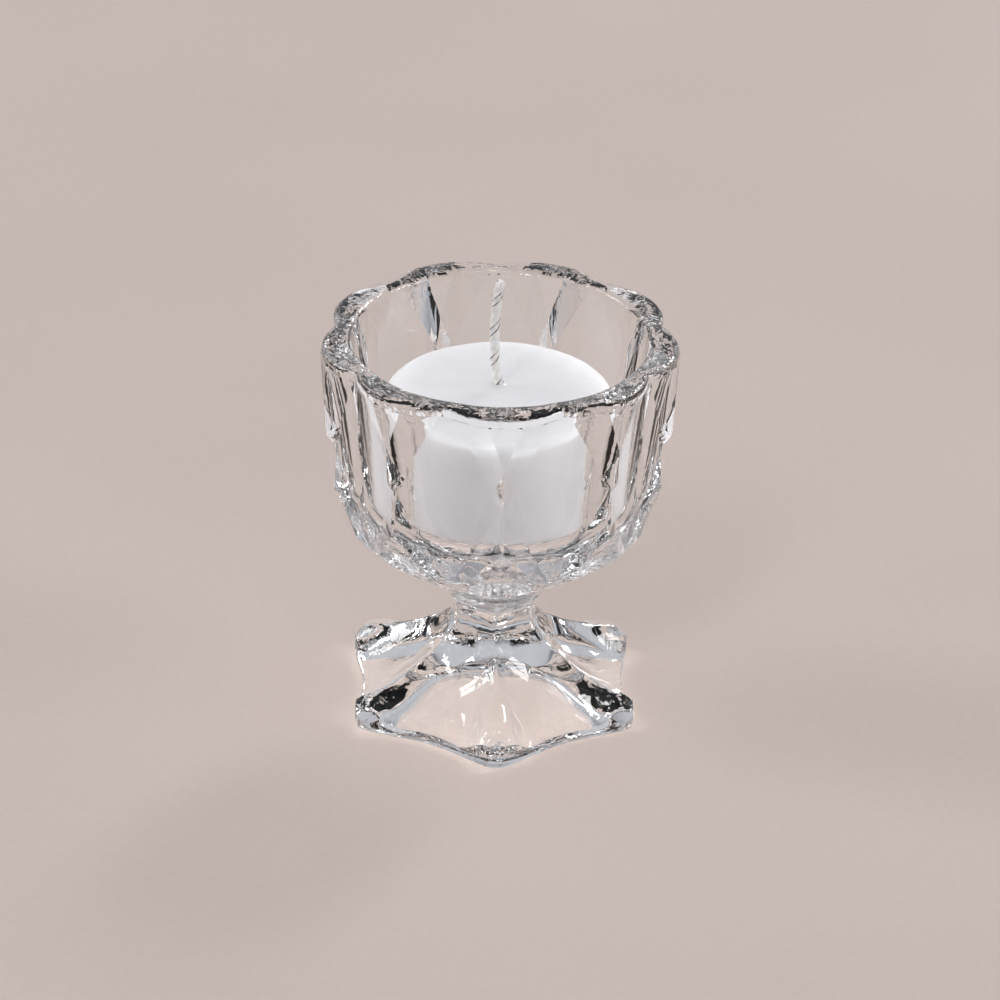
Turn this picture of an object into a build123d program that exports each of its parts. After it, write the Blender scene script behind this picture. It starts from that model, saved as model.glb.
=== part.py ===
from build123d import *
import math
import os

# Footed tealight holder of pressed glass with a bare tealight candle in its bowl.
# Millimetres. +Z up, origin on the table at the holder's axis, -Y is the front.
# A "drop" is a distance below the rim.

# ---- bowl of the holder ----
holder_height = 70.0         # table to rim
rim_radius = 30.9            # over the lobes of the rim
rim_edge_rounding = 1.2      # fire-polished edge of the rim
rim_band_drop = 1.9          # plain lobed band above the pattern
rim_lobe_radius = 13.6       # round of each lobe, seen from above
cavity_mouth_radius = 25.4   # inside of the bowl at the rim
cavity_clearance = 2.0       # gap round the candle where the floor of the bowl starts to curve
cavity_curve_drop = 26.0     # where the floor starts to curve
cavity_floor_drop = 37.0     # lowest point of the inside
lobe_foot_radius = 29.9      # lobes where the raised triangles end
lobe_foot_drop = 17.0
belly_radius = 28.8          # widest part of the lower bowl
belly_top_drop = 19.5
belly_low_drop = 29.5
hip_radius = 25.4            # where the bowl turns under
hip_drop = 34.8
underside_radius = 19.7
underside_drop = 40.0
bowl_low_radius = 12.0       # underside of the bowl where it closes on the neck
bowl_low_drop = 45.6

# ---- pattern pressed into the bowl ----
diamond_count = 9
diamond_side_drop = 18.0     # side tips, shared by neighbours
diamond_low_drop = 36.0      # lower tip
diamond_top_depth = 28.3     # distance of the flat from the axis where the band cuts it off
diamond_side_depth = 26.9    # the same at its side tips
diamond_top_width = 2.5      # width left where the band cuts the upper tip off
diamond_flank_angle = 15.0   # slope of the flanks against the flat
flank_clearance = 0.5        # how far the cutter reaches past the lobes
scoop_radius = 6.0           # round of the leaf-shaped scoops under the bowl
scoop_top_radius = 28.6      # scoop's upper tip, from the axis
scoop_top_drop = 27.5
scoop_low_radius = 15.4      # scoop's lower tip, from the axis
scoop_low_drop = 42.0

# ---- neck and foot ----
foot_sides = 6
neck_radius = 7.1            # corner radius of the hexagonal neck
neck_z = 17.4
neck_top_radius = 11.0       # hexagon where the neck runs into the bowl
neck_top_drop = 47.0
core_radius = 5.6            # bowl's stem inside the neck
core_drop = 52.0
shoulder_radius = 10.5       # corner radius of the hexagon at the top of the foot
shoulder_z = 12.4
foot_radius = 27.9           # over the toes
foot_corner_rounded = 0.6    # taken off the hexagon's sharp corners
foot_edge_inset = 1.75       # how far the sides curve in
toe_edge_z = 2.4             # upright end of each toe
toe_round_inset = 1.0        # round over the end of the toe
toe_round_z = 4.8
toe_top_inset = 3.9          # top of the toe, where the ridge starts
toe_top_z = 6.7
ridge_middle_radius = 17.5   # ridge between toe and shoulder
ridge_middle_z = 8.6
hollow_margin = 2.4          # flat edge round the smooth dome under the foot
hollow_depth = 6.6

# panels of the foot: (distance from the axis, lowest height, round of the panel there)
panel_run = (
    (7.5, 15.6, 5.0),
    (9.2, 12.4, 6.0),
    (12.0, 8.3, 8.5),
    (16.0, 4.9, 10.7),
    (20.0, 3.1, 14.0),
    (24.0, 2.1, 17.5),
    (30.0, 1.6, 22.0),
)

# ---- candle ----
candle_radius = 19.6
candle_top_drop = 10.5
candle_shoulder_rounding = 1.4
candle_foot_rounding = 0.8
candle_gap = 0.3             # clearance between the candle's foot and the curved floor
wick_radius = 0.95
wick_offset_y = 2.0          # the wick stands a little behind the middle
wick_hole_gap = 0.05
wick_height = 20.0           # wick above the wax
wick_bow = 0.9               # sideways bow of the free wick
sustainer_radius = 6.25      # tin tab that the wick is crimped in
sustainer_thickness = 0.3
sustainer_collar_radius = 1.6
sustainer_collar_height = 3.0

# ---- values worked out from the sizes above ----
band_z = holder_height - rim_band_drop
lip_z = holder_height - rim_edge_rounding
cavity_wall_radius = candle_radius + cavity_clearance
cavity_curve_z = holder_height - cavity_curve_drop
cavity_floor_z = holder_height - cavity_floor_drop
diamond_side_z = holder_height - diamond_side_drop
diamond_low_z = holder_height - diamond_low_drop
candle_top_z = holder_height - candle_top_drop
flank_reach = rim_radius - diamond_side_depth + flank_clearance
foot_corner_radius = foot_radius + foot_corner_rounded
foot_side_radius = foot_corner_radius * math.cos(math.pi / foot_sides) - foot_edge_inset
toe_round_radius = foot_radius - toe_round_inset
toe_top_radius = foot_radius - toe_top_inset
hollow_radius = foot_side_radius - hollow_margin
diamond_step = 360.0 / diamond_count
foot_step = 360.0 / foot_sides
back = 90.0
front = -90.0
cut_reach = 12.0             # how far cutters reach outside the glass
standing = (Align.CENTER, Align.CENTER, Align.MIN)


def cavity_z_at(radius):
    """Height of the curved floor of the bowl at a distance from the axis."""
    drop = cavity_curve_z - cavity_floor_z
    return cavity_curve_z - drop * math.sqrt(1.0 - (radius / cavity_wall_radius) ** 2)


candle_bottom_z = cavity_z_at(candle_radius) + candle_gap


def polar(radius, angle, z):
    turn = math.radians(angle)
    return Vector(radius * math.cos(turn), radius * math.sin(turn), z)


def below_rim(radius, drop):
    """A point of a turned outline, given by its distance below the rim."""
    return (radius, holder_height - drop)


def bowl_blank():
    """The bowl's outside turned about the axis, before its pattern is pressed."""
    core_low = below_rim(core_radius, core_drop)
    bowl_low = below_rim(bowl_low_radius, bowl_low_drop)
    belly_low = below_rim(belly_radius, belly_low_drop)
    belly_top = below_rim(belly_radius, belly_top_drop)
    lobe_foot = below_rim(lobe_foot_radius, lobe_foot_drop)
    rim_inner = rim_radius - rim_edge_rounding
    underside = below_rim(underside_radius, underside_drop)
    hip = below_rim(hip_radius, hip_drop)
    with BuildPart() as blank:
        with BuildSketch(Plane.XZ):
            with BuildLine():
                Polyline((0, core_low[1]), core_low, bowl_low)
                Spline(bowl_low, underside, hip, belly_low, tangents=((1.0, 0.9), (0.0, 1.0)))
                Polyline(belly_low, belly_top, lobe_foot, (rim_radius, lip_z))
                RadiusArc((rim_radius, lip_z), (rim_inner, holder_height), -rim_edge_rounding)
                Polyline((rim_inner, holder_height), (0, holder_height), (0, core_low[1]))
            make_face()
        revolve(axis=Axis.Z)
    return blank.part


def bowl_cavity():
    """The smooth round inside of the bowl, with a rounded lip."""
    lip_radius = cavity_mouth_radius + rim_edge_rounding
    top = holder_height + cut_reach
    floor_half = cavity_curve_z - cavity_floor_z
    with BuildPart() as cavity:
        with BuildSketch(Plane.XZ):
            with BuildLine():
                EllipticalCenterArc(
                    (0, cavity_curve_z), cavity_wall_radius, floor_half, start_angle=270, arc_size=90
                )
                Line((cavity_wall_radius, cavity_curve_z), (cavity_mouth_radius, lip_z))
                RadiusArc(
                    (cavity_mouth_radius, lip_z), (lip_radius, holder_height), rim_edge_rounding
                )
                Polyline((lip_radius, holder_height), (lip_radius, top), (0, top), (0, cavity_floor_z))
            make_face()
        revolve(axis=Axis.Z)
    return cavity.part


def diamond_cutter():
    """A lozenge-shaped cutter with shallow flanks, for the diamond at azimuth 0."""
    lean = (diamond_top_depth - diamond_side_depth) / (band_z - diamond_side_z)
    stretch = math.hypot(1.0, lean)
    half_width = diamond_side_depth * math.tan(math.radians(diamond_step / 2))
    tip_share = half_width / (half_width - diamond_top_width / 2)
    up = (band_z - diamond_side_z) * tip_share * stretch
    down = (diamond_side_z - diamond_low_z) * stretch
    edge_distance = up * half_width / math.hypot(up, half_width)
    flank_run = flank_reach / math.tan(math.radians(diamond_flank_angle))
    growth = 1.0 + flank_run / edge_distance
    flat = Plane(
        origin=(diamond_side_depth, 0, diamond_side_z), x_dir=(0, 1, 0), z_dir=(1.0, 0.0, -lean)
    )
    inner = Polygon((0, up), (-half_width, 0), (0, -down), (half_width, 0), align=None)
    outer = scale(inner, growth)
    cutter = loft([flat * inner, flat.offset(flank_reach) * outer], ruled=True)
    band = Pos(0, 0, band_z) * Box(
        6 * rim_radius, 6 * rim_radius, 2 * holder_height, align=standing
    )
    return cutter - band


def scoop_cutter():
    """A round bar laid along the underside of the bowl at azimuth 0."""
    low = Vector(scoop_low_radius, 0, holder_height - scoop_low_drop)
    high = Vector(scoop_top_radius, 0, holder_height - scoop_top_drop)
    along = (high - low).normalized()
    outward = Vector(along.Z, 0, -along.X)
    centre = low - along * cut_reach + outward * scoop_radius
    bar_plane = Plane(origin=centre, x_dir=(0, 1, 0), z_dir=along)
    length = (high - low).length + 2 * cut_reach
    return bar_plane * Cylinder(scoop_radius, length, align=standing)


def band_cutter():
    """What is cut away round the plain band to leave its nine lobes."""
    ring = Pos(0, 0, band_z) * Cylinder(rim_radius + cut_reach, cut_reach, align=standing)
    lobe = Cylinder(rim_lobe_radius, cut_reach, align=standing)
    for index in range(diamond_count):
        lobe_angle = back + (index + 0.5) * diamond_step
        ring -= Pos(polar(rim_radius - rim_lobe_radius, lobe_angle, band_z)) * lobe
    return ring


def bowl():
    """The bowl with its diamonds, raised triangles, scoops and lobed band."""
    body = bowl_blank()
    diamond = diamond_cutter()
    scoop = scoop_cutter()
    for index in range(diamond_count):
        diamond_angle = back + index * diamond_step
        body -= Rot(0, 0, diamond_angle) * diamond
        body -= Rot(0, 0, diamond_angle + diamond_step / 2) * scoop
    return body - band_cutter() - bowl_cavity()


def hexagon(corner_radius, z):
    """A level hexagon with one corner at the front."""
    corners = [polar(corner_radius, front + i * foot_step, z) for i in range(foot_sides)]
    return make_face(Polyline(*corners, close=True))


def neck():
    """Hexagonal neck from the shoulder of the foot up into the bowl."""
    neck_top = hexagon(neck_top_radius, holder_height - neck_top_drop)
    lower = loft([hexagon(shoulder_radius, shoulder_z), hexagon(neck_radius, neck_z)], ruled=True)
    upper = loft([hexagon(neck_radius, neck_z), neck_top], ruled=True)
    return lower + upper


def foot_outline():
    """Upright hexagonal block whose sides curve in between the toes."""
    corners = [polar(foot_corner_radius, front + i * foot_step, 0) for i in range(foot_sides)]
    edges = []
    for i in range(foot_sides):
        middle = polar(foot_side_radius, front + (i + 0.5) * foot_step, 0)
        edges.append(ThreePointArc(corners[i], middle, corners[(i + 1) % foot_sides]))
    return extrude(make_face(edges), shoulder_z)


def foot_crown():
    """Turned body that holds the six ridge lines, from the shoulder down to the toes."""
    with BuildPart() as crown:
        with BuildSketch(Plane.XZ):
            with BuildLine():
                Polyline((0, 0), (foot_radius, 0), (foot_radius, toe_edge_z))
                ThreePointArc(
                    (foot_radius, toe_edge_z), (toe_round_radius, toe_round_z), (toe_top_radius, toe_top_z)
                )
                ThreePointArc(
                    (toe_top_radius, toe_top_z),
                    (ridge_middle_radius, ridge_middle_z),
                    (shoulder_radius, shoulder_z),
                )
                Polyline((shoulder_radius, shoulder_z), (0, shoulder_z), (0, 0))
            make_face()
        revolve(axis=Axis.Z)
    return crown.part


def panel_cutter():
    """Flaring round bar that scoops out one panel of the foot, at azimuth 0."""
    rings = []
    for distance, low_z, panel_radius in panel_run:
        centre = (distance, 0, low_z + panel_radius)
        upright = Plane(origin=centre, x_dir=(0, 1, 0), z_dir=(1, 0, 0))
        rings.append(upright * Circle(panel_radius))
    return loft(rings)


def foot():
    """Six-cornered foot: ridges to the toes, scooped panels, domed hollow underneath."""
    body = foot_outline() & foot_crown()
    panel = panel_cutter()
    for i in range(foot_sides):
        body -= Rot(0, 0, front + (i + 0.5) * foot_step) * panel
    dome_radius = (hollow_radius ** 2 + hollow_depth ** 2) / (2 * hollow_depth)
    return body - Pos(0, 0, hollow_depth - dome_radius) * Sphere(dome_radius)


def glass_holder():
    """Bowl, neck and foot are one pressing of clear glass."""
    return bowl() + neck() + foot()


def wick_path():
    """Straight through the wax, then a gentle bow to the left."""
    base = Vector(0, wick_offset_y, candle_bottom_z + sustainer_thickness)
    exit_point = Vector(0, wick_offset_y, candle_top_z)
    middle = Vector(-wick_bow, wick_offset_y, candle_top_z + wick_height / 2)
    tip = Vector(0, wick_offset_y, candle_top_z + wick_height)
    return base, exit_point, middle, tip


def wick():
    """Waxed cotton wick."""
    base, exit_point, middle, tip = wick_path()
    inside = Pos(base) * Cylinder(wick_radius, exit_point.Z - base.Z, align=standing)
    bowed = ThreePointArc(exit_point, middle, tip)
    section = Plane(origin=exit_point, z_dir=bowed % 0) * Circle(wick_radius)
    return inside + sweep(section, path=bowed)


def sustainer():
    """Pressed tin tab with a collar, which holds the wick at the candle's underside."""
    centre = Pos(0, wick_offset_y, candle_bottom_z)
    tab = centre * Cylinder(sustainer_radius, sustainer_thickness, align=standing)
    collar = centre * Cylinder(sustainer_collar_radius, sustainer_collar_height, align=standing)
    bore_z = candle_bottom_z + sustainer_thickness
    bore_radius = wick_radius + wick_hole_gap
    bore = Pos(0, wick_offset_y, bore_z) * Cylinder(
        bore_radius, sustainer_collar_height, align=standing
    )
    return tab + collar - bore


def candle_wax():
    """Pressed wax with a hole for the wick and a pocket for the sustainer."""
    height = candle_top_z - candle_bottom_z
    body = Pos(0, 0, candle_bottom_z) * Cylinder(candle_radius, height, align=standing)
    rims = body.edges().filter_by(GeomType.CIRCLE).sort_by(Axis.Z)
    body = fillet(rims[-1], candle_shoulder_rounding)
    rims = body.edges().filter_by(GeomType.CIRCLE).sort_by(Axis.Z)
    body = fillet(rims[0], candle_foot_rounding)
    centre = Pos(0, wick_offset_y, candle_bottom_z)
    for pocket_radius, pocket_height in (
        (wick_radius, height),
        (sustainer_radius, sustainer_thickness),
        (sustainer_collar_radius, sustainer_collar_height),
    ):
        body -= centre * Cylinder(
            pocket_radius + wick_hole_gap, pocket_height + wick_hole_gap, align=standing
        )
    return body


os.makedirs("parts", exist_ok=True)
export_step(glass_holder(), "parts/glass_holder.step")
export_step(candle_wax(), "parts/candle_wax.step")
export_step(wick(), "parts/wick.step")
export_step(sustainer(), "parts/wick_sustainer.step")
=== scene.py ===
import math

import bpy
import numpy as np
from mathutils import Matrix, Vector
from mathutils.kdtree import KDTree


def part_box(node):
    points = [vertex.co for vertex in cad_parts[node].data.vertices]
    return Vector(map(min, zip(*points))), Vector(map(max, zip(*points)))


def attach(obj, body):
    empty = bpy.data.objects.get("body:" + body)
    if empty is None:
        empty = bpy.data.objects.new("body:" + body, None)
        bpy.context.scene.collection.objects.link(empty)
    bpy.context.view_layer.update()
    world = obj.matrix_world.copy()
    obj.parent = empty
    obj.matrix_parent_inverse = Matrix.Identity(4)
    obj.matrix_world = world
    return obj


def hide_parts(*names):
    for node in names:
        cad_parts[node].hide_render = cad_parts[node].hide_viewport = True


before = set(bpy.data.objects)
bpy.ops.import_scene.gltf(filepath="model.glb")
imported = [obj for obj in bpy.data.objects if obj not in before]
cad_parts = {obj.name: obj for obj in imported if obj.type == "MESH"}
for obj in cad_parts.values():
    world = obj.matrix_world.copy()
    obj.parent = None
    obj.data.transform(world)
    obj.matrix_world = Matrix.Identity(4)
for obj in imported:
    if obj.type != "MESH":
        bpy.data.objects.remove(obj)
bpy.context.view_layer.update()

MM = 0.001
FRONT = math.radians(-90.0)

# ---- places and sizes read from the frame ----
wax_low, wax_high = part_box("candle_wax")
tab_low, tab_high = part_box("wick_sustainer")
WAX_RADIUS = wax_high.x
WAX_TOP = wax_high.z
WAX_BOTTOM = wax_low.z


# ---- modelling steps shared by the pieces ----

def clear_selection():
    """Nothing selected, so that the next step acts on the new work alone."""
    if bpy.context.object and bpy.context.object.mode != "OBJECT":
        bpy.ops.object.mode_set(mode="OBJECT")
    bpy.ops.object.select_all(action="DESELECT")


def work_on(piece):
    """Only this piece selected and active."""
    clear_selection()
    piece.select_set(True)
    bpy.context.view_layer.objects.active = piece


def named(name):
    """Give the piece just added its name."""
    piece = bpy.context.active_object
    piece.name = name
    piece.data.name = name
    return piece


def settle(piece):
    """Put the piece's place into its mesh, with the object at the origin."""
    work_on(piece)
    bpy.ops.object.transform_apply(location=True, rotation=True, scale=True)
    return piece


def spun(name, outline, steps):
    """Draw an outline of (radius, height) points edge by edge and spin it about the axis."""
    clear_selection()
    first = Vector((outline[0][0], 0.0, outline[0][1]))
    bpy.ops.mesh.primitive_plane_add(size=MM, location=first)
    piece = named(name)
    settle(piece)
    bpy.ops.object.mode_set(mode="EDIT")
    bpy.ops.mesh.select_mode(type="VERT")
    bpy.ops.mesh.select_all(action="SELECT")
    bpy.ops.mesh.merge(type="CENTER")
    last = first
    for radius, height in outline[1:]:
        point = Vector((radius, 0.0, height))
        bpy.ops.mesh.extrude_region_move(TRANSFORM_OT_translate={"value": point - last})
        last = point
    bpy.ops.mesh.select_all(action="SELECT")
    bpy.ops.mesh.spin(steps=steps, angle=math.tau, center=(0.0, 0.0, 0.0), axis=(0.0, 0.0, 1.0))
    bpy.ops.mesh.select_all(action="SELECT")
    bpy.ops.mesh.remove_doubles(threshold=0.002 * MM)
    bpy.ops.mesh.normals_make_consistent(inside=False)
    bpy.ops.object.mode_set(mode="OBJECT")
    return piece


def corners_of(piece):
    """The mesh's corner points in millimetres."""
    points = np.empty(len(piece.data.vertices) * 3)
    piece.data.vertices.foreach_get("co", points)
    return points.reshape(-1, 3) / MM


def put_corners(piece, points):
    """Move the mesh's corners to these points and set its normals outward again."""
    piece.data.vertices.foreach_set("co", (points * MM).ravel())
    piece.data.update()
    work_on(piece)
    bpy.ops.object.mode_set(mode="EDIT")
    bpy.ops.mesh.select_all(action="SELECT")
    bpy.ops.mesh.normals_make_consistent(inside=False)
    bpy.ops.object.mode_set(mode="OBJECT")
    bpy.ops.object.shade_smooth()


def arc(centre, size, start, end, count):
    """Points of a round edge in an outline, in degrees anticlockwise from outward."""
    points = []
    for i in range(count + 1):
        turn = math.radians(start + (end - start) * i / count)
        points.append((centre[0] + size * math.cos(turn), centre[1] + size * math.sin(turn)))
    return points


def in_metres(outline):
    """An outline drawn in millimetres, turned into metres."""
    return [(radius * MM, height * MM) for radius, height in outline]


# ---- the pressed glass, in millimetres ----
DIAMONDS = 9
SIDES = 6
COLUMNS = 432                      # a whole number of columns in each diamond and each side of the foot
HALF_STEP = math.pi / DIAMONDS
BAND_Z = 68.1                      # plain band from here to the rim
BAND_LEDGE = 0.15                  # height of the small ledge under the band
SIDE_Z = 52.0                      # side tips of the diamonds
LOW_Z = 34.0                       # lower tip
TOP_DEPTH = 28.3                   # flat of a diamond under the band, from the axis
SIDE_DEPTH = 26.9                  # flat of a diamond at its side tips
TOP_HALF_WIDTH = 1.25              # what the band leaves of the upper tip
LEAN = (TOP_DEPTH - SIDE_DEPTH) / (BAND_Z - SIDE_Z)
STRETCH = math.hypot(1.0, LEAN)
HALF_WIDTH = SIDE_DEPTH * math.tan(HALF_STEP)
UPPER_SLOPE = math.tan(math.radians(15.0))
LOWER_SLOPE = math.tan(math.radians(13.0))
LOBE_ARC = 13.6                    # round of each lobe of the rim, seen from above
LOBE_PEAK = 30.85                  # reach of the lobes from the axis


def soft_min(a, b, softness):
    """The smaller of two sizes, with the crossing rounded over."""
    mix = np.clip(0.5 + 0.5 * (b - a) / softness, 0.0, 1.0)
    return b * (1.0 - mix) + a * mix - softness * mix * (1.0 - mix)


def soft_max(a, b, softness):
    """The larger of two sizes, with the crossing rounded over."""
    return -soft_min(-a, -b, softness)


def ease(value, start, end):
    """0 before start, 1 after end, smooth between."""
    t = np.clip((value - start) / (end - start), 0.0, 1.0)
    return t * t * (3.0 - 2.0 * t)


def along(value, places, sizes):
    """A size read off a smooth run through (place, size) points, without overshoot."""
    places = np.array(places, float)
    sizes = np.array(sizes, float)
    gaps = np.diff(places)
    grades = np.diff(sizes) / gaps
    tangents = np.concatenate(([grades[0]], (grades[:-1] + grades[1:]) / 2, [grades[-1]]))
    turning = grades[:-1] * grades[1:] <= 0.0
    tangents[1:-1][turning] = 0.0
    value = np.clip(value, places[0], places[-1])
    index = np.clip(np.searchsorted(places, value, side="right") - 1, 0, len(gaps) - 1)
    gap = gaps[index]
    t = (value - places[index]) / gap
    start, end = sizes[index], sizes[index + 1]
    leave, arrive = tangents[index] * gap, tangents[index + 1] * gap
    square, cube = t * t, t * t * t
    return (
        start * (2 * cube - 3 * square + 1)
        + leave * (cube - 2 * square + t)
        + end * (3 * square - 2 * cube)
        + arrive * (cube - square)
    )


def from_step(angle, count):
    """Angle from the nearest of count directions, the first one straight back."""
    step = math.tau / count
    return (angle - math.pi / 2 + step / 2) % step - step / 2


def flank_plane(across, upward, slope):
    """Plane rising from one edge of a flat diamond; the edge faces (across, upward) in the flat.

    Returned as the plane's shares of x, y and z and its constant, x outward from the axis."""
    length = math.hypot(across, upward)
    across, upward = across / length, upward / length
    return (
        (1.0 - slope * upward * LEAN) / STRETCH,
        -slope * across,
        (-LEAN - slope * upward) / STRETCH,
        (LEAN * SIDE_Z - SIDE_DEPTH + slope * upward * (LEAN * SIDE_DEPTH + SIDE_Z)) / STRETCH
        + slope * across * HALF_WIDTH,
    )


UPPER_FLANK = flank_plane((BAND_Z - SIDE_Z) * STRETCH, HALF_WIDTH - TOP_HALF_WIDTH, UPPER_SLOPE)
LOWER_FLANK = flank_plane((SIDE_Z - LOW_Z) * STRETCH, -HALF_WIDTH, LOWER_SLOPE)


def plane_radius(plane, off, z):
    """Distance of a plane from the axis, off radians from the diamond's middle."""
    x, y, up, constant = plane
    return -(constant + up * z) / (x * np.cos(off) + y * np.sin(off))


# farthest reach of the raised triangles, and the narrow keel under each of them
CROWN_Z = (34.0, 41.0, 48.0, 51.4, 52.6, 53.4, 60.0, 68.5)
CROWN_R = (28.85, 28.8, 28.5, 28.6, 29.7, 30.2, 30.55, 30.78)
KEEL_Z = (50.5, 51.4, 52.6, 53.4, 57.5, 60.0, 68.5)
KEEL_R = (27.8, 28.5, 29.5, 30.0, 30.35, 30.55, 30.6)
KEEL_FALL = 34.0                   # millimetres the keel falls away per radian to each side
BELLY_Z = (18.0, 20.0, 22.0, 24.0, 26.0, 28.0, 30.0, 32.0, 34.0, 36.0, 38.0, 40.0, 42.0, 46.0, 52.0, 70.0)
BELLY_R = (5.6, 7.0, 9.2, 11.4, 13.9, 16.8, 19.8, 22.5, 24.6, 26.4, 27.8, 28.7, 28.9, 29.2, 31.0, 33.0)
SCOOP_LOW = (15.6, 27.6)           # leaf-shaped scoop under each lobe: radius and height of its ends
SCOOP_HIGH = (28.9, 42.6)
SCOOP_ROUND = 5.6


def flat_radius(off, z):
    """Distance of a diamond's flat from the axis."""
    return (SIDE_DEPTH + LEAN * (z - SIDE_Z)) / np.cos(off)


def raised_radius(off, z):
    """The two flanks beside a diamond and the raised triangle between neighbours."""
    side = HALF_STEP - off
    flank = np.where(
        z > SIDE_Z, plane_radius(UPPER_FLANK, off, z), plane_radius(LOWER_FLANK, off, z)
    )
    keel = along(z, KEEL_Z, KEEL_R) - KEEL_FALL * side
    crown = along(z, CROWN_Z, CROWN_R) / np.cos(side)
    return flank, keel, crown


def scoop_radius(off, z):
    """Round bottom of the leaf-shaped scoop under a lobe."""
    side = HALF_STEP - off
    run = (SCOOP_HIGH[0] - SCOOP_LOW[0]) / (SCOOP_HIGH[1] - SCOOP_LOW[1])
    line = SCOOP_LOW[0] + (z - SCOOP_LOW[1]) * run
    across = np.clip(line * np.sin(side) / SCOOP_ROUND, -0.98, 0.98)
    return line + SCOOP_ROUND * (1.0 - np.sqrt(1.0 - across ** 2)) * math.hypot(1.0, run)


def bowl_radius(angle, z):
    """Outside of the bowl: flat diamonds, raised triangles between them, scoops below."""
    off = np.abs(from_step(angle, DIAMONDS))
    side = HALF_STEP - off
    flank, keel, crown = raised_radius(off, z)
    radius = np.maximum(flat_radius(off, z), np.minimum(np.maximum(flank, keel), crown))
    radius = soft_min(radius, along(z, BELLY_Z, BELLY_R), 0.4)
    radius = soft_min(radius, scoop_radius(off, z), 0.06)
    centre = LOBE_PEAK - LOBE_ARC
    lobed = centre * np.cos(side) + np.sqrt(LOBE_ARC ** 2 - (centre * np.sin(side)) ** 2)
    band = np.clip((z - BAND_Z) / BAND_LEDGE, 0.0, 1.0)
    return radius * (1.0 - band) + lobed * band


FLAT_SHARE = 10.0 / 24.0           # share of the columns laid on the flat, then up to the raised part
FLANK_SHARE = 18.0 / 24.0


def facet_breaks(z):
    """Where, off a diamond's middle, the flat ends and the raised triangle or the scoop starts."""
    z = np.minimum(z, BAND_Z - 0.02)[:, None]
    off = np.linspace(0.0, HALF_STEP, 600)[None, :]
    flank, keel, crown = raised_radius(off, z)
    flat = flat_radius(off, z)
    rest = np.maximum(flat, np.minimum(np.maximum(flank, keel), crown))
    past_flat = flank > flat
    past_upper = (crown < flank) | (keel > flank)
    past_flank = np.where(z > SCOOP_HIGH[1], past_upper, scoop_radius(off, z) < rest)
    flat_end = np.where(past_flat.any(axis=1), off[0][past_flat.argmax(axis=1)], HALF_STEP)
    raised = np.where(past_flank.any(axis=1), off[0][past_flank.argmax(axis=1)], HALF_STEP)
    least = math.radians(0.7)
    flat_end = np.clip(flat_end, 2 * least, HALF_STEP - 2 * least)
    raised = np.clip(raised, flat_end + least, HALF_STEP - least)
    return flat_end, raised


def turned_to_facets(angle, z, amount):
    """Slide the columns sideways so that they run along the edges of the facets."""
    signed = from_step(angle, DIAMONDS)
    share = np.abs(signed) / HALF_STEP
    heights, back_to = np.unique(np.round(z, 4), return_inverse=True)
    flat_end, raised = facet_breaks(heights)
    hold = ease(heights, 27.0, 33.0)
    flat_end = (FLAT_SHARE * HALF_STEP * (1 - hold) + flat_end * hold)[back_to]
    raised = (FLANK_SHARE * HALF_STEP * (1 - hold) + raised * hold)[back_to]
    on_flat = share / FLAT_SHARE * flat_end
    on_flank = flat_end + (share - FLAT_SHARE) / (FLANK_SHARE - FLAT_SHARE) * (raised - flat_end)
    on_lobe = raised + (share - FLANK_SHARE) / (1.0 - FLANK_SHARE) * (HALF_STEP - raised)
    off = np.where(share < FLAT_SHARE, on_flat, np.where(share < FLANK_SHARE, on_flank, on_lobe))
    moved = angle - signed + np.sign(signed) * off
    return angle + (moved - angle) * amount


NECK_Z = (8.0, 12.4, 13.0, 14.5, 16.0, 17.4, 19.0, 21.0, 24.0)
NECK_R = (10.9, 10.6, 10.1, 8.6, 7.5, 7.1, 7.4, 8.8, 11.0)


def neck_radius(angle, z):
    """Six-sided neck with a corner at the front."""
    corner = along(z, NECK_Z, NECK_R)
    off = np.abs(from_step(angle + math.pi / SIDES, SIDES))
    cornered = corner * math.cos(math.pi / SIDES) / np.cos(off)
    return soft_min(cornered, corner * 0.985, 0.3)


FOOT_CORNER = 28.5                 # sharp corners of the foot's hexagon, before rounding
TOE_REACH = 27.9                   # what the rounding leaves of them
SIDE_DIP = 1.75                    # how far the sides curve in
TOE_HALF_WIDTH = 4.1               # of the raised toe at the end of each ridge
EDGE_ROUND = 0.5                   # upright edge of the foot


def foot_edge(angle):
    """Outline of the foot seen from above: a hexagon with rounded corners and sides curving in."""
    off = np.abs(from_step(angle + math.pi / SIDES, SIDES))
    straight = FOOT_CORNER * math.cos(math.pi / SIDES) / np.cos(off)
    dip = SIDE_DIP * np.cos(off / (math.pi / SIDES) * math.pi / 2) ** 1.5
    return soft_min(straight, TOE_REACH, 0.9) - dip


RIDGE_FOOT_R = (9.0, 10.6, 13.0, 16.0, 19.0, 22.0, 24.0, 25.6, 26.8, 27.5, 27.9)
RIDGE_FOOT_Z = (13.0, 12.4, 10.9, 9.3, 8.0, 7.2, 6.7, 5.9, 4.6, 3.4, 2.4)
PANEL_R = (8.0, 9.2, 10.5, 12.0, 14.0, 16.0, 18.0, 20.0, 22.0, 23.2, 27.9)
PANEL_Z = (13.4, 12.4, 10.4, 8.3, 6.2, 4.8, 3.7, 2.9, 2.3, 1.9, 1.7)


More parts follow.
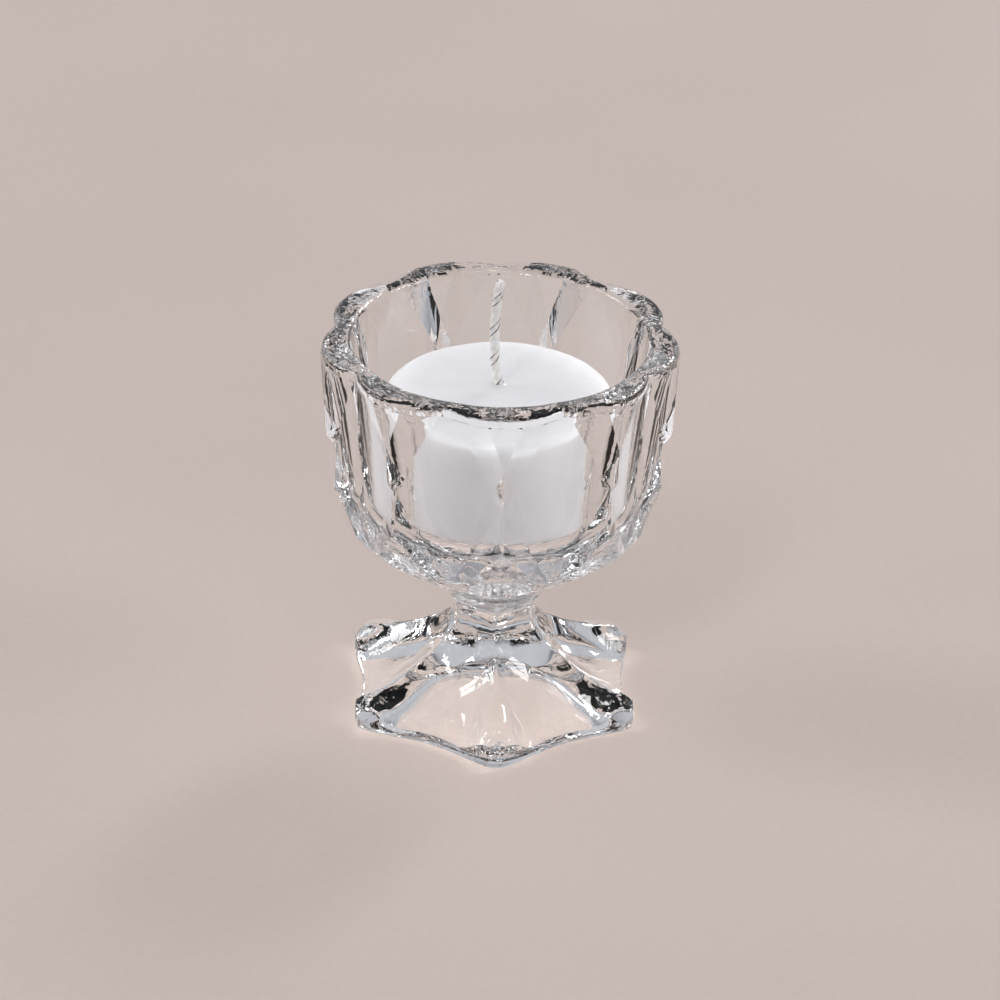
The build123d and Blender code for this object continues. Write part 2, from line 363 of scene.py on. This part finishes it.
def foot_height(angle, radius):
    """Top of the foot: ridges to the six toes with scooped panels between."""
    off = np.abs(from_step(angle, SIDES)) / (math.pi / SIDES)      # 0 on a ridge, 1 in mid-panel
    ridge = along(radius, RIDGE_FOOT_R, RIDGE_FOOT_Z)
    panel = along(radius, PANEL_R, PANEL_Z)
    sharp = (1.0 - np.sqrt(off ** 2 + 0.0036) + 0.06).clip(0.0, 1.0) ** 1.7
    width = TOE_HALF_WIDTH / np.maximum(radius, 1.0) / (math.pi / SIDES)
    toe = np.exp(-((off / width) ** 3))
    share = sharp + (toe - sharp) * ease(radius, 15.0, 22.5)
    return panel + (ridge - panel) * share


HOLLOW_R = (0.0, 3.0, 6.0, 9.0, 12.0, 15.0, 18.0, 20.5, 22.0)       # dome under the foot
HOLLOW_Z = (6.6, 6.5, 6.1, 5.2, 3.9, 2.6, 1.4, 0.5, 0.0)
CAVITY_MOUTH = 25.4                # inside of the bowl at the rim
CAVITY_WALL = 21.6                 # inside of the bowl where its floor starts to curve
CAVITY_CURVE_Z = 44.0
CAVITY_FLOOR_Z = 33.0              # lowest point of the inside
RIM_START_Z = 68.9                 # foot of the rounded rim
RIM_Z = 70.0
SHOULDER_Z = 12.4                  # where the neck stands on the foot
BOWL_START_Z = 20.0                # where the bowl leaves the neck


BOWL_RUNS = (                      # (lower end, upper end, rows) of the bowl's outside
    (20.0, 27.0, 8), (27.0, 43.0, 40), (43.0, 51.4, 12), (51.4, 54.0, 12),
    (54.0, 59.6, 8), (59.6, BAND_Z, 10), (BAND_Z, BAND_Z + BAND_LEDGE, 1),
    (BAND_Z + BAND_LEDGE, RIM_START_Z, 3),
)


def rows_of_glass():
    """The rows of the skin, from the middle of the underside round to the middle of the bowl's floor.

    Each row is (part of the glass, share of the way along that part)."""
    rows = []
    for part, count in (("hollow", 14), ("ring", 2), ("edge", 12), ("foot", 38), ("neck", 12)):
        rows += [(part, i / count) for i in range(count)]
    for low, high, count in BOWL_RUNS:
        for i in range(count):
            height = low + (high - low) * i / count
            rows.append(("bowl", (height - BOWL_START_Z) / (RIM_START_Z - BOWL_START_Z)))
    for part, count in (("rim", 20), ("wall", 10), ("floor", 16)):
        rows += [(part, i / count) for i in range(count)]
    rows.append(("floor", 1.0))
    return rows


def place_of(part, share, angle):
    """Radius and height of the skin, in millimetres, for arrays of shares and angles."""
    edge = foot_edge(angle)
    hollow_edge = 9.7 + 0.479 * edge
    if part == "hollow":
        return share * hollow_edge, along(share * HOLLOW_R[-1], HOLLOW_R, HOLLOW_Z)
    if part == "ring":
        return hollow_edge + share * (edge - EDGE_ROUND - hollow_edge), 0.0 * share
    if part == "edge":
        top = foot_height(angle, edge - 0.45)
        turn = -math.pi / 2 + share * math.pi
        radius = edge - EDGE_ROUND + EDGE_ROUND * np.abs(np.cos(turn)) ** 0.6
        height = top / 2 + top / 2 * np.sign(np.sin(turn)) * np.abs(np.sin(turn)) ** 0.8
        return radius, height
    if part == "foot":
        shoulder = neck_radius(angle, SHOULDER_Z)
        radius = edge - EDGE_ROUND + share * (shoulder - edge + EDGE_ROUND)
        height = foot_height(angle, radius)
        miss = SHOULDER_Z - foot_height(angle, shoulder)
        return radius, height + miss * share ** 8
    if part == "neck":
        height = SHOULDER_Z + share * (BOWL_START_Z - SHOULDER_Z)
        return neck_radius(angle, height), height
    if part == "bowl":
        height = BOWL_START_Z + share * (RIM_START_Z - BOWL_START_Z)
        bowl = bowl_radius(angle, height)
        stem = neck_radius(angle, np.minimum(height, NECK_Z[-1])) - 8.0 * ease(height, 21.0, 26.0)
        return soft_max(bowl, stem, 0.8), height
    if part == "rim":
        outer = bowl_radius(angle, RIM_START_Z + 0.0 * share)
        turn = share * math.pi
        middle, half = (outer + CAVITY_MOUTH) / 2, (outer - CAVITY_MOUTH) / 2
        squared = 2.0 / 2.7
        radius = middle + half * np.sign(np.cos(turn)) * np.abs(np.cos(turn)) ** squared
        return radius, RIM_START_Z + (RIM_Z - RIM_START_Z) * np.abs(np.sin(turn)) ** squared
    if part == "wall":
        height = RIM_START_Z + share * (CAVITY_CURVE_Z - RIM_START_Z)
        return CAVITY_MOUTH + share * (CAVITY_WALL - CAVITY_MOUTH), height
    turn = share * math.pi / 2
    return CAVITY_WALL * np.cos(turn), CAVITY_CURVE_Z - (CAVITY_CURVE_Z - CAVITY_FLOOR_Z) * np.sin(turn)


def glass_piece():
    """Spin the holder's outline, then press the mould's pattern into the skin."""
    rows = rows_of_glass()
    front = np.array([FRONT])
    outline = []
    for part, share in rows:
        radius, height = place_of(part, np.array([share]), front)
        outline.append((float(np.ravel(radius)[0]) * MM, float(np.ravel(height)[0]) * MM))
    piece = spun("holder_glass", outline, COLUMNS)
    finder = KDTree(len(outline))
    for index, (radius, height) in enumerate(outline):
        finder.insert((radius / MM, 0.0, height / MM), index)
    finder.balance()
    points = corners_of(piece)
    angle = np.arctan2(points[:, 1], points[:, 0])
    spread = np.hypot(points[:, 0], points[:, 1])
    row = np.array([finder.find((r, 0.0, z))[1] for r, z in zip(spread, points[:, 2])])
    share = np.array([s for _, s in rows])[row]
    for part in dict.fromkeys(name for name, _ in rows):
        here = np.array([name == part for name, _ in rows])[row]
        turn = angle[here]
        if part == "bowl":
            turn = turned_to_facets(turn, points[here, 2], 1.0)
        if part == "rim":
            turn = turned_to_facets(turn, points[here, 2], 1.0 - share[here])
        radius, height = place_of(part, share[here], turn)
        points[here, 0] = radius * np.cos(turn)
        points[here, 1] = radius * np.sin(turn)
        points[here, 2] = height
    put_corners(piece, points)
    crease_facets(piece)
    ripple = piece.data.attributes.new("ripple", "FLOAT", "POINT")
    ripple.data.foreach_set("value", ripple_share(points, np.array([name for name, _ in rows])[row]))
    return piece


def ripple_share(points, part):
    """How rippled the fire-polished skin is: most at the rim, in the scoops and round the toes."""
    spread = np.hypot(points[:, 0], points[:, 1])
    z = points[:, 2]
    outside = part == "bowl"
    share = np.where(outside, ease(z, 44.0, 38.0) * 0.55 + ease(z, 67.4, 68.4) * 0.9, 0.06)
    share = np.where(part == "rim", 1.0, share)
    share = np.where((part == "wall") & (z > 64.0), ease(z, 64.0, 68.9), share)
    share = np.where(part == "edge", 0.9, share)
    share = np.where(part == "foot", 0.12 + 0.6 * ease(spread, 20.0, 25.0), share)
    return np.where(part == "neck", 0.3, share)


CREASE_ANGLE = math.radians(5.0)   # sharper edges than this stay crisp
CREASE_LOW_Z = 27.0                # below here the bowl runs smoothly into the neck
CREASE_INNER_RADIUS = 14.0
INSIDE_REACH = 25.7                # nothing of the inside of the bowl reaches farther out


def crease_facets(piece):
    """Keep the edges between the pressed facets crisp, and everything else smooth."""
    work_on(piece)
    bpy.ops.object.mode_set(mode="EDIT")
    bpy.ops.mesh.select_mode(type="EDGE")
    bpy.ops.mesh.select_all(action="DESELECT")
    bpy.ops.mesh.edges_select_sharp(sharpness=CREASE_ANGLE)
    bpy.ops.object.mode_set(mode="OBJECT")
    mesh = piece.data
    points = corners_of(piece)
    ends = np.empty(len(mesh.edges) * 2, dtype=np.int32)
    mesh.edges.foreach_get("vertices", ends)
    middle = points[ends.reshape(-1, 2)].mean(axis=1)
    picked = np.empty(len(mesh.edges), dtype=bool)
    mesh.edges.foreach_get("select", picked)
    spread = np.hypot(middle[:, 0], middle[:, 1])
    inner = np.where(middle[:, 2] > CAVITY_FLOOR_Z, INSIDE_REACH, 0.0)
    outside = spread > np.maximum(CREASE_INNER_RADIUS, inner)
    crisp = picked & outside & (middle[:, 2] > CREASE_LOW_Z) & (middle[:, 2] < BAND_Z + BAND_LEDGE + 0.01)
    creases = mesh.attributes.new("sharp_edge", "BOOLEAN", "EDGE")
    creases.data.foreach_set("value", crisp)
    mesh.update()


# ---- the tealight ----
WICK_Y = (tab_low.y + tab_high.y) / 2 / MM
WICK_ROUND = 0.82                  # cord of three strands, between its bulges
STRAND_BULGE = 0.06
CORD_LAY = 5.6                     # length in which a strand goes once round
WICK_BOW = 0.9                     # sideways bow of the free wick
WICK_TIP = 79.5
MENISCUS = 0.42                    # wax drawn up round the wick
POCKET_ROUND = 6.32                # pocket for the tin tab under the wax
POCKET_DEPTH = 0.33
WAX_SHOULDER = 1.5                 # rounding of the wax at its top and bottom edges
WAX_HEEL = 0.8


def wax_piece():
    """Pressed wax, slightly uneven on top and drawn up where the wick leaves it."""
    top, foot, round_ = WAX_TOP / MM, WAX_BOTTOM / MM, WAX_RADIUS / MM
    outline = [(0.0, top + MENISCUS)]
    for radius in (0.5, 0.95, 1.15, 1.4, 1.7, 2.1, 2.6, 3.2, 4.0, 5.0, 6.2, 7.6, 9.2, 11.0, 13.0, 15.0, 16.6):
        outline.append((radius, top + MENISCUS * math.exp(-max(radius - 0.95, 0.0) / 0.6)))
    side = top - foot - WAX_SHOULDER - WAX_HEEL
    outline += arc((round_ - WAX_SHOULDER, top - WAX_SHOULDER), WAX_SHOULDER, 90.0, 0.0, 8)
    outline += [(round_, top - WAX_SHOULDER - side * i / 8) for i in range(1, 8)]
    outline += arc((round_ - WAX_HEEL, foot + WAX_HEEL), WAX_HEEL, 0.0, -90.0, 6)
    outline += [(radius, foot) for radius in (15.0, 11.0, 8.0, POCKET_ROUND + 0.1, POCKET_ROUND)]
    outline += [(radius, foot + POCKET_DEPTH) for radius in (POCKET_ROUND - 0.05, 4.0, 2.0, 0.0)]
    piece = spun("candle_wax_body", in_metres(outline), 144)
    points = corners_of(piece)
    spread = np.hypot(points[:, 0], points[:, 1])
    points[:, 1] += WICK_Y * (1.0 - ease(spread, 8.0, 16.5))
    x, y = points[:, 0], points[:, 1]
    upper = ease(points[:, 2], top - 1.6, top - 0.2) * ease(spread, 1.2, 4.0)
    swell = 0.07 * np.sin(0.31 * x + 0.9) * np.cos(0.37 * y - 0.4) + 0.03 * np.sin(0.9 * x - 0.5 * y)
    dimple = -0.34 * np.exp(-(((x - 6.4) ** 2 + (y - 0.4) ** 2) / 9.0))
    points[:, 2] += upper * (swell + dimple - 0.05)
    wobble = 1.0 - 0.0016 * (1.0 + np.sin(3.0 * np.arctan2(y, x) + 0.7))
    points[:, 0] *= wobble
    points[:, 1] *= wobble
    put_corners(piece, points)
    return piece


def wick_piece():
    """Three twisted cotton strands in a gentle bow, cut off a little unevenly at the tip."""
    start = tab_low.z / MM + 0.35
    steps = 230
    outline = [(0.0, start), (0.5, start)]
    outline += [(WICK_ROUND, start + (WICK_TIP - start) * i / steps) for i in range(steps + 1)]
    outline += [(0.5, WICK_TIP + 0.05), (0.0, WICK_TIP + 0.08)]
    piece = spun("wick_cord", in_metres(outline), 36)
    points = corners_of(piece)
    spread = np.hypot(points[:, 0], points[:, 1])
    turn = np.arctan2(points[:, 1], points[:, 0])
    z = points[:, 2].copy()
    lay = turn - math.tau * z / CORD_LAY
    outer = spread > 0.8 * WICK_ROUND
    slub = 0.025 * np.sin(1.7 * z) + 0.018 * np.sin(4.1 * z + 1.0)
    fray = 1.0 - 0.16 * ease(z, WICK_TIP - 0.9, WICK_TIP)
    bulge = STRAND_BULGE * np.where(np.cos(3.0 * lay) > 0.0, np.cos(3.0 * lay), 1.4 * np.cos(3.0 * lay))
    radius = np.where(outer, (WICK_ROUND + bulge + slub) * fray, spread)
    bowed = ease(z, WAX_TOP / MM - 0.01, WAX_TOP / MM + 0.01)
    middle = (WICK_TIP + WAX_TOP / MM) / 2
    half = (WICK_TIP - WAX_TOP / MM) / 2
    shift = -WICK_BOW * (1.0 - ((z - middle) / half) ** 2) * bowed
    points[:, 0] = radius * np.cos(turn) + shift
    points[:, 1] = radius * np.sin(turn) + WICK_Y
    points[:, 2] = z - 0.22 * ease(z, WICK_TIP - 0.5, WICK_TIP) * (1.0 + np.sin(2.0 * turn + 0.6))
    put_corners(piece, points)
    twist = piece.data.attributes.new("twist", "FLOAT_VECTOR", "POINT")
    values = np.stack([np.cos(lay), np.sin(lay), z], axis=1)
    twist.data.foreach_set("vector", values.ravel())
    return piece


def sustainer_piece():
    """Stamped tin tab with a rolled edge, a pressed ring and a collar crimped round the wick."""
    low = tab_low.z / MM
    outline = [
        (0.97, 0.0), (6.05, 0.0), (6.2, 0.05), (6.25, 0.15), (6.2, 0.25), (6.05, 0.3),
        (5.6, 0.3), (5.45, 0.22), (4.7, 0.22), (4.55, 0.3), (2.2, 0.3), (1.85, 0.4),
        (1.65, 0.7), (1.6, 1.2), (1.6, 1.8), (1.58, 2.7), (1.5, 2.92), (1.35, 2.99),
        (1.12, 2.99), (0.99, 2.9), (0.97, 2.4), (0.97, 1.2), (0.97, 0.0),
    ]
    piece = spun("wick_tab", in_metres([(r, low + z) for r, z in outline]), 72)
    points = corners_of(piece)
    spread = np.hypot(points[:, 0], points[:, 1])
    turn = np.arctan2(points[:, 1], points[:, 0])
    collar = ease(points[:, 2], low + 0.9, low + 1.4) * ease(spread, 1.2, 1.55)
    pinch = 1.0 - 0.09 * collar * (0.5 + 0.5 * np.cos(4.0 * turn)) ** 3
    points[:, 0] *= pinch
    points[:, 1] *= pinch
    points[:, 1] += WICK_Y
    put_corners(piece, points)
    return piece


# ---- materials ----

def add(tree, kind, values=None, **settings):
    """A new node with its settings and the values of its own sockets."""
    made = tree.nodes.new(kind)
    for name, setting in settings.items():
        setattr(made, name, setting)
    for name, value in (values or {}).items():
        made.inputs[name].default_value = value
    return made


def uneven_group():
    """Shared unevenness: a mask of soft patches with finer grain, and the normals it bends."""
    group = bpy.data.node_groups.new("uneven_surface", "ShaderNodeTree")
    face = group.interface
    face.new_socket("Place", in_out="INPUT", socket_type="NodeSocketVector")
    for name, value in (("Patch Scale", 200.0), ("Grain Scale", 2000.0), ("Grain", 0.3), ("Depth", 0.0001)):
        face.new_socket(name, in_out="INPUT", socket_type="NodeSocketFloat").default_value = value
    face.new_socket("Mask", in_out="OUTPUT", socket_type="NodeSocketFloat")
    face.new_socket("Normal", in_out="OUTPUT", socket_type="NodeSocketVector")
    inlet = add(group, "NodeGroupInput")
    outlet = add(group, "NodeGroupOutput")
    patches = add(group, "ShaderNodeTexNoise", {"Detail": 2.0})
    grain = add(group, "ShaderNodeTexNoise", {"Detail": 4.0})
    blend = add(group, "ShaderNodeMix", data_type="FLOAT")
    bump = add(group, "ShaderNodeBump", {"Strength": 1.0})
    link = group.links.new
    link(inlet.outputs["Place"], patches.inputs["Vector"])
    link(inlet.outputs["Place"], grain.inputs["Vector"])
    link(inlet.outputs["Patch Scale"], patches.inputs["Scale"])
    link(inlet.outputs["Grain Scale"], grain.inputs["Scale"])
    link(inlet.outputs["Grain"], blend.inputs["Factor"])
    link(patches.outputs["Fac"], blend.inputs["A"])
    link(grain.outputs["Fac"], blend.inputs["B"])
    link(blend.outputs["Result"], outlet.inputs["Mask"])
    link(blend.outputs["Result"], bump.inputs["Height"])
    link(inlet.outputs["Depth"], bump.inputs["Distance"])
    link(bump.outputs["Normal"], outlet.inputs["Normal"])
    return group


UNEVEN = uneven_group()
RIPPLE_DEPTH = 0.00022             # metres
RIPPLE_SCALE = 620.0
GLASS_IOR = 1.52
SHADOW_LET_THROUGH = 0.93          # share of the light that the glass lets through to the table


def new_material(name, colour, roughness):
    """A material with a Principled shader, its node tree and that shader."""
    material = bpy.data.materials.new(name)
    material.use_nodes = True
    tree = material.node_tree
    tree.nodes.clear()
    output = add(tree, "ShaderNodeOutputMaterial")
    shader = add(tree, "ShaderNodeBsdfPrincipled", {"Base Color": (*colour, 1.0), "Roughness": roughness})
    tree.links.new(shader.outputs["BSDF"], output.inputs["Surface"])
    return material, tree, shader


def uneven(tree, shader, patch_scale, grain_scale, grain, depth):
    """Lay the shared unevenness on a material by object place, and hand back its mask."""
    place = add(tree, "ShaderNodeTexCoord")
    values = {"Patch Scale": patch_scale, "Grain Scale": grain_scale, "Grain": grain, "Depth": depth}
    surface = add(tree, "ShaderNodeGroup", node_tree=UNEVEN)
    for name, value in values.items():
        surface.inputs[name].default_value = value
    tree.links.new(place.outputs["Object"], surface.inputs["Place"])
    tree.links.new(surface.outputs["Normal"], shader.inputs["Normal"])
    return surface.outputs["Mask"]


def shade_between(tree, mask, socket, low, high):
    """Drive a value of the shader between two amounts by a mask."""
    reach = {"From Min": 0.3, "From Max": 0.7, "To Min": low, "To Max": high}
    span = add(tree, "ShaderNodeMapRange", reach)
    tree.links.new(mask, span.inputs["Value"])
    tree.links.new(span.outputs["Result"], socket)


def tint_between(tree, mask, low, high, low_at=0.35, high_at=0.65):
    """A colour running between two tints by a mask."""
    ramp = add(tree, "ShaderNodeValToRGB")
    ramp.color_ramp.elements[0].position = low_at
    ramp.color_ramp.elements[0].color = (*low, 1.0)
    ramp.color_ramp.elements[1].position = high_at
    ramp.color_ramp.elements[1].color = (*high, 1.0)
    tree.links.new(mask, ramp.inputs["Fac"])
    return ramp.outputs["Color"]


def clear_glass():
    """Clear pressed glass, fire-polished: hardly any tint, rippled at the rim, with a light shadow."""
    material, tree, shader = new_material("clear_pressed_glass", (0.99, 0.992, 0.995), 0.0)
    shader.inputs["Transmission Weight"].default_value = 1.0
    shader.inputs["IOR"].default_value = GLASS_IOR
    mask = uneven(tree, shader, 160.0, 900.0, 0.15, 0.00002)
    tint = tint_between(tree, mask, (0.975, 0.985, 0.99), (0.995, 0.995, 0.995))
    tree.links.new(tint, shader.inputs["Base Color"])
    shade_between(tree, mask, shader.inputs["Roughness"], 0.0, 0.012)
    place = add(tree, "ShaderNodeTexCoord")
    ripples = add(tree, "ShaderNodeTexNoise", {"Scale": RIPPLE_SCALE, "Detail": 1.0, "Distortion": 0.6})
    strength = add(tree, "ShaderNodeAttribute", attribute_name="ripple")
    raised = add(tree, "ShaderNodeMath", operation="MULTIPLY")
    bump = add(tree, "ShaderNodeBump", {"Strength": 1.0, "Distance": RIPPLE_DEPTH})
    tree.links.new(place.outputs["Object"], ripples.inputs["Vector"])
    tree.links.new(ripples.outputs["Fac"], raised.inputs[0])
    tree.links.new(strength.outputs["Fac"], raised.inputs[1])
    tree.links.new(raised.outputs[0], bump.inputs["Height"])
    tree.links.new(shader.inputs["Normal"].links[0].from_socket, bump.inputs["Normal"])
    tree.links.new(bump.outputs["Normal"], shader.inputs["Normal"])
    rays = add(tree, "ShaderNodeLightPath")
    through = add(tree, "ShaderNodeMath", operation="MULTIPLY_ADD")
    through.inputs[1].default_value = -SHADOW_LET_THROUGH
    through.inputs[2].default_value = 1.0
    tree.links.new(rays.outputs["Is Shadow Ray"], through.inputs[0])
    tree.links.new(through.outputs[0], shader.inputs["Alpha"])
    return material


def candle_wax():
    """White wax: milky, faintly mottled, with a soft gloss."""
    material, tree, shader = new_material("white_wax", (0.9, 0.9, 0.895), 0.4)
    shader.inputs["Subsurface Weight"].default_value = 1.0
    shader.inputs["Subsurface Radius"].default_value = (1.0, 0.95, 0.92)
    shader.inputs["Subsurface Scale"].default_value = 7 * MM
    shader.inputs["Coat Weight"].default_value = 0.35
    shader.inputs["Coat Roughness"].default_value = 0.16
    mask = uneven(tree, shader, 120.0, 1500.0, 0.35, 0.00004)
    tint = tint_between(tree, mask, (0.74, 0.735, 0.75), (0.81, 0.80, 0.815))
    tree.links.new(tint, shader.inputs["Base Color"])
    shade_between(tree, mask, shader.inputs["Roughness"], 0.46, 0.3)
    return material


def cotton():
    """Waxed cotton cord with two thin dark tracer threads laid in with the strands."""
    material, tree, shader = new_material("waxed_cotton", (0.8, 0.78, 0.74), 0.55)
    shader.inputs["Subsurface Weight"].default_value = 0.2
    shader.inputs["Subsurface Scale"].default_value = 0.4 * MM
    mask = uneven(tree, shader, 900.0, 5000.0, 0.5, 0.00008)
    pale = tint_between(tree, mask, (0.80, 0.77, 0.73), (0.93, 0.915, 0.89))
    twist = add(tree, "ShaderNodeAttribute", attribute_name="twist")
    split = add(tree, "ShaderNodeSeparateXYZ")
    tree.links.new(twist.outputs["Vector"], split.inputs[0])
    either = add(tree, "ShaderNodeMath", operation="MAXIMUM")
    tree.links.new(split.outputs["X"], either.inputs[0])
    tree.links.new(split.outputs["Y"], either.inputs[1])
    thread = add(tree, "ShaderNodeMapRange", {"From Min": 0.965, "From Max": 0.985})
    tree.links.new(either.outputs[0], thread.inputs["Value"])
    worn = add(tree, "ShaderNodeMath", operation="MULTIPLY")
    fleck = {"From Min": 0.4, "From Max": 0.52, "To Min": 0.0, "To Max": 0.95}
    shows = add(tree, "ShaderNodeMapRange", fleck)
    tree.links.new(mask, shows.inputs["Value"])
    tree.links.new(thread.outputs["Result"], worn.inputs[0])
    tree.links.new(shows.outputs["Result"], worn.inputs[1])
    blend = add(tree, "ShaderNodeMix", data_type="RGBA")
    blend.inputs["B"].default_value = (0.035, 0.03, 0.03, 1.0)
    tree.links.new(worn.outputs[0], blend.inputs["Factor"])
    tree.links.new(pale, blend.inputs["A"])
    tree.links.new(blend.outputs["Result"], shader.inputs["Base Color"])
    return material


def tinned_steel():
    """Thin tinned steel with faint blotches left by the tinning."""
    material, tree, shader = new_material("tinned_steel", (0.62, 0.63, 0.64), 0.3)
    shader.inputs["Metallic"].default_value = 1.0
    mask = uneven(tree, shader, 500.0, 3000.0, 0.4, 0.00003)
    tint = tint_between(tree, mask, (0.52, 0.53, 0.54), (0.68, 0.69, 0.7))
    tree.links.new(tint, shader.inputs["Base Color"])
    shade_between(tree, mask, shader.inputs["Roughness"], 0.22, 0.42)
    return material


# ---- stage, light and camera ----
SHADE_START = 0.30                 # metres from the holder
SHADE_END = 0.75
FLOOR_Z = -0.03 * MM               # a hair under the foot, so that the two faces never coincide
TABLE_SIZE = 6.0
ROOM_STRENGTH = 0.44
PANE_SHARE = 0.88                  # share of a window's pane that the dark bars leave open
CAMERA_DISTANCE = 870.74 * MM


def floor():
    """Plain pale table top that falls into shade well behind and around the holder."""
    clear_selection()
    bpy.ops.mesh.primitive_plane_add(size=TABLE_SIZE, location=(0.0, 0.0, FLOOR_Z))
    top = named("table_top")
    material, tree, shader = new_material("plain_table", (0.77, 0.645, 0.59), 0.75)
    mask = uneven(tree, shader, 9.0, 700.0, 0.35, 0.00015)
    pale = tint_between(tree, mask, (0.555, 0.462, 0.415), (0.59, 0.49, 0.443))
    place = add(tree, "ShaderNodeTexCoord")
    distance = add(tree, "ShaderNodeVectorMath", operation="LENGTH")
    shade = add(tree, "ShaderNodeMapRange", {"From Min": SHADE_START, "From Max": SHADE_END})
    shade.interpolation_type = "SMOOTHSTEP"
    blend = add(tree, "ShaderNodeMix", data_type="RGBA")
    blend.inputs["B"].default_value = (0.56, 0.51, 0.49, 1.0)
    tree.links.new(place.outputs["Object"], distance.inputs[0])
    tree.links.new(distance.outputs["Value"], shade.inputs["Value"])
    tree.links.new(shade.outputs["Result"], blend.inputs["Factor"])
    tree.links.new(pale, blend.inputs["A"])
    tree.links.new(blend.outputs["Result"], shader.inputs["Base Color"])
    top.data.materials.append(material)


def soft_box(name, place, target, size, power):
    """A rectangular soft light that faces its target."""
    light = bpy.data.lights.new(name, "AREA")
    light.shape = "RECTANGLE"
    light.size, light.size_y = size
    light.energy = power
    holder = bpy.data.objects.new(name, light)
    bpy.context.collection.objects.link(holder)
    holder.location = place
    holder.rotation_euler = (Vector(target) - Vector(place)).to_track_quat("-Z", "Y").to_euler()
    return holder


def window(name, place, target, size, panes, power):
    """A window of several panes with dark bars between them."""
    across, up = panes
    facing = (Vector(target) - Vector(place)).to_track_quat("-Z", "Y")
    pane = (size[0] / across * PANE_SHARE, size[1] / up * PANE_SHARE)
    for i in range(across):
        for j in range(up):
            aside = size[0] * ((i + 0.5) / across - 0.5)
            above = size[1] * ((j + 0.5) / up - 0.5)
            spot = Vector(place) + facing @ Vector((aside, above, 0.0))
            made = soft_box(f"{name}_{i}_{j}", spot, target, pane, power / (across * up))
            made.rotation_euler = facing.to_euler()


def studio():
    """A pale room with soft lighter and darker patches, and five small bright windows."""
    world = bpy.data.worlds.new("room")
    bpy.context.scene.world = world
    world.use_nodes = True
    tree = world.node_tree
    tree.nodes.clear()
    output = add(tree, "ShaderNodeOutputWorld")
    back = add(tree, "ShaderNodeBackground", {"Strength": ROOM_STRENGTH})
    tree.links.new(back.outputs[0], output.inputs[0])
    place = add(tree, "ShaderNodeTexCoord")
    split = add(tree, "ShaderNodeSeparateXYZ")
    tree.links.new(place.outputs["Generated"], split.inputs[0])
    height = tint_between(tree, split.outputs["Z"], (0.84, 0.85, 0.89), (0.98, 0.99, 1.0), 0.0, 0.6)
    patches = add(tree, "ShaderNodeTexNoise", {"Scale": 1.9, "Detail": 1.5})
    tree.links.new(place.outputs["Generated"], patches.inputs["Vector"])
    tone = tint_between(tree, patches.outputs["Fac"], (0.5, 0.49, 0.53), (1.25, 1.27, 1.32), 0.36, 0.52)
    mixed = add(tree, "ShaderNodeMix", data_type="RGBA", blend_type="MULTIPLY")
    mixed.inputs["Factor"].default_value = 1.0
    tree.links.new(height, mixed.inputs["A"])
    tree.links.new(tone, mixed.inputs["B"])
    tree.links.new(mixed.outputs["Result"], back.inputs["Color"])
    target = (0.0, 0.0, 0.04)
    window("window_back_right", (0.9, 1.2, 1.1), target, (0.34, 0.46), (2, 2), 8.0)
    window("window_left", (-1.3, 0.25, 0.8), target, (0.46, 0.66), (2, 2), 6.8)
    window("window_front_left", (-0.7, -1.1, 1.2), target, (0.26, 0.4), (1, 2), 4.0)
    window("window_right", (1.3, -0.3, 0.6), target, (0.42, 0.56), (2, 2), 5.6)
    window("skylight", (0.1, -0.2, 1.6), target, (0.4, 0.3), (2, 1), 1.6)


def camera():
    """View from a little above the front, with the holder upright in a slightly turned frame."""
    turn = Matrix.Rotation(math.radians(-2.36), 3, "Z")
    elevation = math.radians(28.614)
    roll = math.radians(1.321)
    aim = turn @ Vector((0.611, 0.0, 37.943)) * MM
    back = turn @ Vector((0.0, -math.cos(elevation), math.sin(elevation)))
    right = turn @ Vector((1.0, 0.0, 0.0))
    up = back.cross(right)
    rolled_right = right * math.cos(roll) + up * math.sin(roll)
    rolled_up = up * math.cos(roll) - right * math.sin(roll)
    lens = bpy.data.cameras.new("camera")
    lens.lens = 180.0
    lens.sensor_width = 36.0
    lens.clip_start = 0.01
    view = bpy.data.objects.new("camera", lens)
    bpy.context.collection.objects.link(view)
    basis = Matrix((rolled_right, rolled_up, back)).transposed()
    view.matrix_world = Matrix.Translation(aim + back * CAMERA_DISTANCE) @ basis.to_4x4()
    bpy.context.scene.camera = view


def fitted(piece, material, body, node):
    """Give a finished piece its material and its place in the frame."""
    piece.data.materials.clear()
    piece.data.materials.append(material)
    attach(piece, body)
    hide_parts(node)
    stand_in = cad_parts[node]
    stand_in.data.materials.clear()
    stand_in.data.materials.append(material)


bpy.context.scene.view_settings.view_transform = "Standard"
camera()
studio()
floor()
fitted(glass_piece(), clear_glass(), "holder", "glass_holder")
fitted(wax_piece(), candle_wax(), "candle", "candle_wax")
fitted(wick_piece(), cotton(), "candle", "wick")
fitted(sustainer_piece(), tinned_steel(), "candle", "wick_sustainer")
